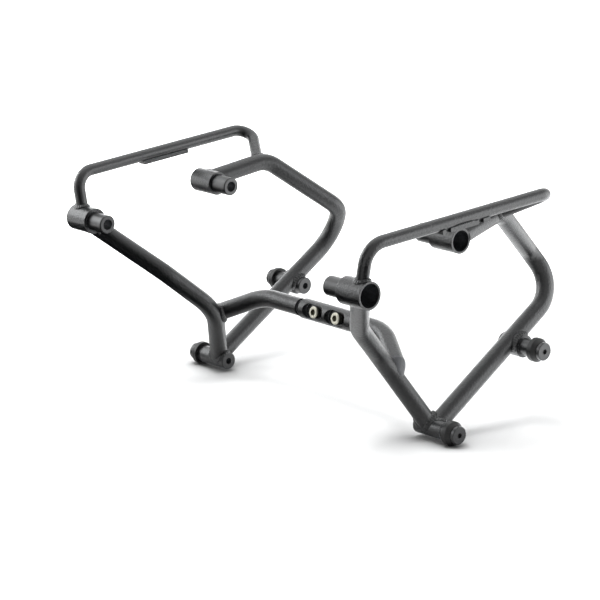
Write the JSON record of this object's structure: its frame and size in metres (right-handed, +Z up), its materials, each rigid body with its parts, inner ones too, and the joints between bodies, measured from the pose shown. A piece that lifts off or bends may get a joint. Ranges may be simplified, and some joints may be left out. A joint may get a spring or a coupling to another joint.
{
  "type": "pannier frame",
  "caption": "Black tubular pannier frame for a motorbike: mirrored side frames with rubber-ringed pegs and bolt bosses, joined behind by a slotted, screwed crossbar splice.",
  "frame": {"origin": "middle of the bounding box, at the bottom of the rear pegs' rubber rings", "axes": "+X to the right across both side frames, +Y to the front of the motorbike, +Z up"},
  "size_m": [0.464, 0.3065, 0.2341],
  "materials": {
    "powder_coat": "satin",
    "ring_rubber": "matte",
    "black_bolt": "satin",
    "zinc_screw": "satin"
  },
  "bodies": {
    "root": {"main_hoop_right": "powder_coat", "main_hoop_left": "powder_coat", "rear_strut_right": "powder_coat", "rear_strut_left": "powder_coat", "upper_rail_right": "powder_coat", "upper_rail_left": "powder_coat", "rail_strip_right": "powder_coat", "rail_strip_left": "powder_coat", "rear_boss_sleeve_right": "powder_coat", "rear_boss_sleeve_left": "powder_coat", "front_boss_sleeve_right": "powder_coat", "front_boss_sleeve_left": "powder_coat", "rear_boss_bush_right": "powder_coat", "rear_boss_bush_left": "powder_coat", "front_boss_bush_right": "powder_coat", "front_boss_bush_left": "powder_coat", "rear_peg_bush_right": "powder_coat", "rear_peg_bush_left": "powder_coat", "front_peg_bush_right": "powder_coat", "front_peg_bush_left": "powder_coat", "rear_peg_ring_right": "ring_rubber", "rear_peg_ring_left": "ring_rubber", "front_peg_ring_right": "ring_rubber", "front_peg_ring_left": "ring_rubber", "rear_peg_bolt_right": "black_bolt", "rear_peg_bolt_left": "black_bolt", "front_peg_bolt_right": "black_bolt", "front_peg_bolt_left": "black_bolt", "crossbar_right": "powder_coat", "crossbar_left": "powder_coat", "splice_lap_front": "powder_coat", "splice_lap_rear": "powder_coat", "splice_screw_1": "zinc_screw", "splice_screw_2": "zinc_screw"}
  },
  "joints": []
}
